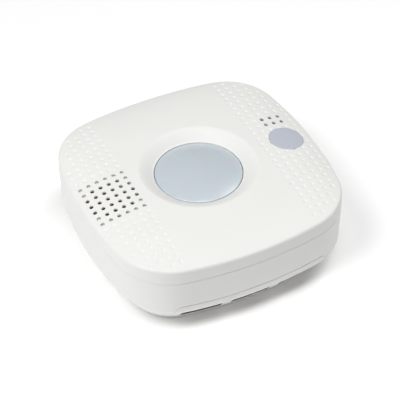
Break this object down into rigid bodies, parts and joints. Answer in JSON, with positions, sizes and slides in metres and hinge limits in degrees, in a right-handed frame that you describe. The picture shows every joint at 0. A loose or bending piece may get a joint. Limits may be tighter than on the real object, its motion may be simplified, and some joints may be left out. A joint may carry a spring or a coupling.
{
  "type": "carbon monoxide detector",
  "caption": "Square wall or ceiling gas alarm with bowed sides, a crowned dimpled cover, a domed test button, a sliding battery door and a twist-off wall plate.",
  "frame": {"origin": "middle of the wall plate's back face, at the lowest point of the object", "axes": "+Z from the wall out through the test button, +Y towards the top of the detector as hung, -Y towards the battery door, +X towards the status window"},
  "size_m": [0.12, 0.12, 0.0426],
  "materials": {
    "abs_white": "fine satin moulded ABS",
    "abs_plate": "satin moulded ABS",
    "lens_grey": "smooth translucent polycarbonate",
    "clear_acrylic": "polished acrylic",
    "led_red": "diffused epoxy",
    "led_amber": "diffused epoxy",
    "led_green": "diffused epoxy",
    "led_white": "diffused epoxy",
    "board_green": "solder mask over glass-epoxy laminate",
    "plastic_black": "moulded epoxy and nylon",
    "plunger_ivory": "moulded acetal",
    "aluminium_can": "drawn can",
    "copper_coil": "enamelled winding",
    "brass_sheet": "rolled sheet",
    "ceramic_white": "fired ceramic with silvered face",
    "foam_black": "closed-cell foam",
    "membrane_white": "porous membrane",
    "spring_steel": "nickel-plated",
    "screw_steel": "zinc-plated",
    "cell_sleeve": "printed shrink sleeve",
    "screen_dark": "woven glass mesh"
  },
  "bodies": {
    "wall_plate": {"mounting_plate": "abs_plate"},
    "head": {"rear_housing": "abs_white", "front_cover": "abs_white", "housing_screws": "screw_steel", "circuit_board": "board_green", "board_screws": "screw_steel", "microcontroller": "plastic_black", "capacitors": "aluminium_can", "sounder_coil": "copper_coil", "test_switch": "plastic_black", "red_led": "led_red", "amber_led": "led_amber", "green_led": "led_green", "status_led": "led_white", "status_window": "lens_grey", "button_carrier": "abs_plate", "light_guide": "clear_acrylic", "button_spring": "spring_steel", "sounder_chamber": "abs_plate", "sounder_diaphragm": "brass_sheet", "sounder_ceramic": "ceramic_white", "sounder_contacts": "brass_sheet", "co_cell": "aluminium_can", "cell_gasket": "foam_black", "inlet_filter": "membrane_white", "battery_a": "cell_sleeve", "battery_b": "cell_sleeve", "contact_plates": "spring_steel", "contact_springs": "spring_steel"},
    "button": {"test_button": "lens_grey"},
    "switch_plunger": {"test_switch_plunger": "plunger_ivory"},
    "door": {"battery_door": "abs_white", "vent_screen": "screen_dark"}
  },
  "joints": [
    {"name": "plate_twist", "type": "hinge", "parent": "wall_plate", "child": "head", "pos_m": [0, 0, 0.004], "axis": [0, 0, 1], "range_deg": [0, 12]},
    {"name": "button_press", "type": "slide", "parent": "head", "child": "button", "axis": [0, 0, -1], "range_m": [0, 0.0008], "stiffness_N_per_m": 600, "springref_m": -0.002, "deforming": ["button_spring"]},
    {"name": "switch_press", "type": "slide", "parent": "head", "child": "switch_plunger", "axis": [0, 0, -1], "range_m": [0, 0.0008]},
    {"name": "battery_slide", "type": "slide", "parent": "head", "child": "door", "axis": [0, -1, 0], "range_m": [0, 0.012]}
  ],
  "couplings": [
    {"joint": "switch_press", "follows": "button_press", "ratio": 1}
  ]
}
